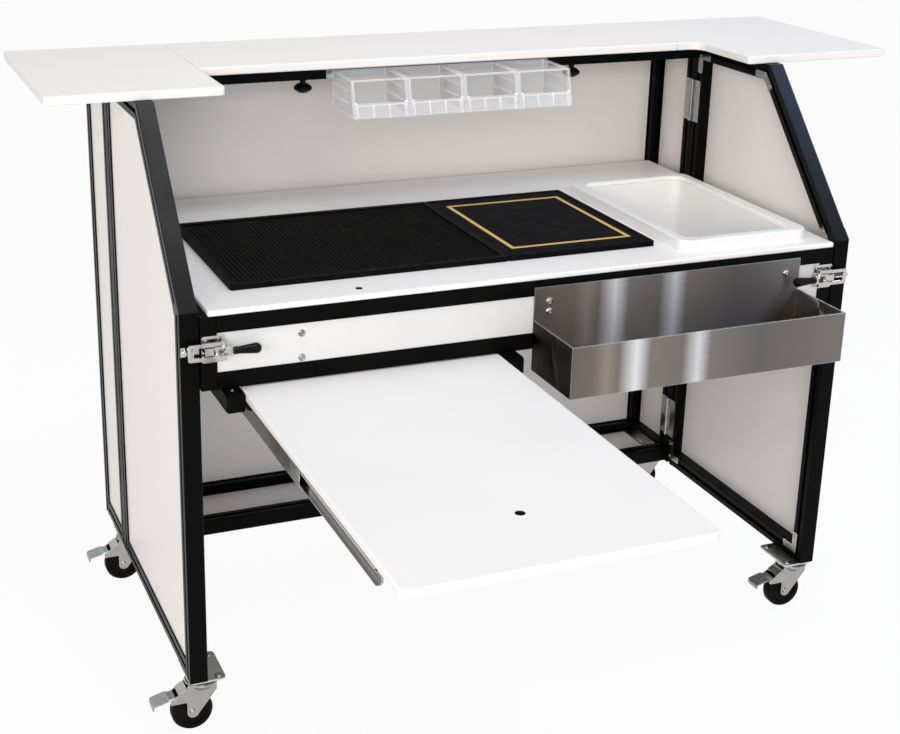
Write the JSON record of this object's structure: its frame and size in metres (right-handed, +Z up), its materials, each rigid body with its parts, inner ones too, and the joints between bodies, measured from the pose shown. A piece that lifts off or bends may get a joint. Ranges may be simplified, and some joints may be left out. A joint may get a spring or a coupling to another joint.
{
  "type": "portable bar",
  "caption": "Folding portable bar on casters: black slot-profile frame, white panels and top, work shelf with ice bin, speed rail and pull-out board.",
  "frame": {"origin": "on the floor, under the middle of the whole bar's bounding box with the board drawn out", "axes": "+X along the bar to the bartender's right, +Y from the bartender to the guests, +Z up"},
  "size_m": [1.724, 1.467, 1.104],
  "materials": {
    "frame_black": "satin black",
    "panel_white": "smooth matt white",
    "board_white": "fine-grained white",
    "bin_white": "moulded, soft gloss",
    "zinc_steel": "bright zinc plated",
    "stainless": "brushed along its length",
    "mat_rubber": "matt black",
    "clear_plastic": "clear moulded plastic",
    "rail_white": "smooth pale plastic",
    "black_plastic": "soft gloss black",
    "wheel_rubber": "hard black rubber"
  },
  "bodies": {
    "frame": {"wing_posts": "frame_black", "wing_rails": "frame_black", "wing_slope_rails": "frame_black", "knee_joiners": "frame_black", "corner_posts": "frame_black", "hinge_posts": "frame_black", "box_top_rails": "frame_black", "box_bottom_rails": "frame_black", "shelf_rails": "frame_black", "shelf_underframe": "frame_black", "slide_tubes": "frame_black", "wing_panels": "panel_white", "guest_panel": "panel_white", "return_panels": "panel_white", "base_board": "panel_white", "shelf_fascia": "panel_white", "top_left": "board_white", "top_middle": "board_white", "top_right": "board_white", "shelf_board": "board_white", "corner_plates": "zinc_steel", "hinge_leaves": "zinc_steel", "hinge_pins": "zinc_steel", "base_straps": "zinc_steel", "slide_outer_members": "zinc_steel", "latch_bases": "zinc_steel", "latch_catches": "zinc_steel", "caster_plates": "zinc_steel", "speed_rail": "stainless", "bar_mat": "mat_rubber", "service_mat": "mat_rubber", "bin_rail": "rail_white"},
    "board_middle": {"slide_middle_members": "zinc_steel"},
    "board": {"slide_inner_members": "zinc_steel", "sliding_board": "board_white"},
    "ice_bin": {"ice_bin": "bin_white"},
    "knob_left": {"knob_left": "black_plastic"},
    "knob_right": {"knob_right": "black_plastic"},
    "latch_handle_left": {"latch_handle_left": "zinc_steel", "latch_grip_left": "black_plastic"},
    "latch_handle_right": {"latch_handle_right": "zinc_steel", "latch_grip_right": "black_plastic"},
    "latch_hook_left": {"latch_hook_left": "zinc_steel"},
    "latch_hook_right": {"latch_hook_right": "zinc_steel"},
    "storage_bin_1": {"storage_bin_1": "clear_plastic"},
    "storage_bin_2": {"storage_bin_2": "clear_plastic"},
    "storage_bin_3": {"storage_bin_3": "clear_plastic"},
    "storage_bin_4": {"storage_bin_4": "clear_plastic"},
    "caster_fork_near_left": {"caster_fork_near_left": "zinc_steel"},
    "caster_wheel_near_left": {"caster_wheel_near_left": "wheel_rubber"},
    "caster_pedal_near_left": {"caster_pedal_near_left": "zinc_steel"},
    "caster_fork_near_right": {"caster_fork_near_right": "zinc_steel"},
    "caster_wheel_near_right": {"caster_wheel_near_right": "wheel_rubber"},
    "caster_pedal_near_right": {"caster_pedal_near_right": "zinc_steel"},
    "caster_fork_rear_left": {"caster_fork_rear_left": "zinc_steel"},
    "caster_wheel_rear_left": {"caster_wheel_rear_left": "wheel_rubber"},
    "caster_pedal_rear_left": {"caster_pedal_rear_left": "zinc_steel"},
    "caster_fork_rear_right": {"caster_fork_rear_right": "zinc_steel"},
    "caster_wheel_rear_right": {"caster_wheel_rear_right": "wheel_rubber"},
    "caster_pedal_rear_right": {"caster_pedal_rear_right": "zinc_steel"}
  },
  "joints": [
    {"name": "board_slide", "type": "slide", "parent": "frame", "child": "board", "axis": [0, 1, 0], "range_m": [0, 0.64]},
    {"name": "board_middle_slide", "type": "slide", "parent": "frame", "child": "board_middle", "axis": [0, 1, 0], "range_m": [0, 0.32]},
    {"name": "ice_bin_lift", "type": "slide", "parent": "frame", "child": "ice_bin", "axis": [0, 0, 1], "range_m": [0, 0.2]},
    {"name": "storage_bin_1_lift", "type": "slide", "parent": "frame", "child": "storage_bin_1", "axis": [0, 0, 1], "range_m": [0, 0.008]},
    {"name": "storage_bin_2_lift", "type": "slide", "parent": "frame", "child": "storage_bin_2", "axis": [0, 0, 1], "range_m": [0, 0.008]},
    {"name": "storage_bin_3_lift", "type": "slide", "parent": "frame", "child": "storage_bin_3", "axis": [0, 0, 1], "range_m": [0, 0.008]},
    {"name": "storage_bin_4_lift", "type": "slide", "parent": "frame", "child": "storage_bin_4", "axis": [0, 0, 1], "range_m": [0, 0.008]},
    {"name": "knob_left_turn", "type": "hinge", "parent": "frame", "child": "knob_left", "pos_m": [-0.317, 0.5395, 1.036], "axis": [0, 0, 1], "continuous": true},
    {"name": "knob_right_turn", "type": "hinge", "parent": "frame", "child": "knob_right", "pos_m": [0.275, 0.5395, 1.036], "axis": [0, 0, 1], "continuous": true},
    {"name": "latch_left_handle", "type": "hinge", "parent": "frame", "child": "latch_handle_left", "pos_m": [-0.6514, -0.0255, 0.729], "axis": [0, 0, -1], "range_deg": [0, 110]},
    {"name": "latch_left_hook", "type": "hinge", "parent": "latch_handle_left", "child": "latch_hook_left", "pos_m": [-0.6394, -0.0235, 0.729], "axis": [0, 0, -1], "range_deg": [-110, 0]},
    {"name": "latch_right_handle", "type": "hinge", "parent": "frame", "child": "latch_handle_right", "pos_m": [0.5414, -0.0255, 0.729], "axis": [0, 0, 1], "range_deg": [0, 110]},
    {"name": "latch_right_hook", "type": "hinge", "parent": "latch_handle_right", "child": "latch_hook_right", "pos_m": [0.5294, -0.0235, 0.729], "axis": [0, 0, 1], "range_deg": [-110, 0]},
    {"name": "caster_near_left_swivel", "type": "hinge", "parent": "frame", "child": "caster_fork_near_left", "pos_m": [-0.682, 0.0215, 0.1], "axis": [0, 0, 1], "continuous": true},
    {"name": "caster_near_left_roll", "type": "hinge", "parent": "caster_fork_near_left", "child": "caster_wheel_near_left", "pos_m": [-0.702, 0.0215, 0.0375], "axis": [0, 1, 0], "continuous": true},
    {"name": "caster_near_left_brake", "type": "hinge", "parent": "caster_fork_near_left", "child": "caster_pedal_near_left", "pos_m": [-0.734, 0.0215, 0.0685], "axis": [0, -1, 0], "range_deg": [0, 10]},
    {"name": "caster_near_right_swivel", "type": "hinge", "parent": "frame", "child": "caster_fork_near_right", "pos_m": [0.572, 0.0215, 0.1], "axis": [0, 0, 1], "continuous": true},
    {"name": "caster_near_right_roll", "type": "hinge", "parent": "caster_fork_near_right", "child": "caster_wheel_near_right", "pos_m": [0.552, 0.0215, 0.0375], "axis": [0, 1, 0], "continuous": true},
    {"name": "caster_near_right_brake", "type": "hinge", "parent": "caster_fork_near_right", "child": "caster_pedal_near_right", "pos_m": [0.52, 0.0215, 0.0685], "axis": [0, -1, 0], "range_deg": [0, 10]},
    {"name": "caster_rear_left_swivel", "type": "hinge", "parent": "frame", "child": "caster_fork_rear_left", "pos_m": [-0.682, 0.6005, 0.1], "axis": [0, 0, 1], "continuous": true},
    {"name": "caster_rear_left_roll", "type": "hinge", "parent": "caster_fork_rear_left", "child": "caster_wheel_rear_left", "pos_m": [-0.702, 0.6005, 0.0375], "axis": [0, 1, 0], "continuous": true},
    {"name": "caster_rear_left_brake", "type": "hinge", "parent": "caster_fork_rear_left", "child": "caster_pedal_rear_left", "pos_m": [-0.734, 0.6005, 0.0685], "axis": [0, -1, 0], "range_deg": [0, 10]},
    {"name": "caster_rear_right_swivel", "type": "hinge", "parent": "frame", "child": "caster_fork_rear_right", "pos_m": [0.572, 0.6005, 0.1], "axis": [0, 0, 1], "continuous": true},
    {"name": "caster_rear_right_roll", "type": "hinge", "parent": "caster_fork_rear_right", "child": "caster_wheel_rear_right", "pos_m": [0.552, 0.6005, 0.0375], "axis": [0, 1, 0], "continuous": true},
    {"name": "caster_rear_right_brake", "type": "hinge", "parent": "caster_fork_rear_right", "child": "caster_pedal_rear_right", "pos_m": [0.52, 0.6005, 0.0685], "axis": [0, -1, 0], "range_deg": [0, 10]}
  ],
  "couplings": [
    {"joint": "board_middle_slide", "follows": "board_slide", "ratio": 0.5},
    {"joint": "latch_left_hook", "follows": "latch_left_handle", "ratio": -1},
    {"joint": "latch_right_hook", "follows": "latch_right_handle", "ratio": -1}
  ]
}
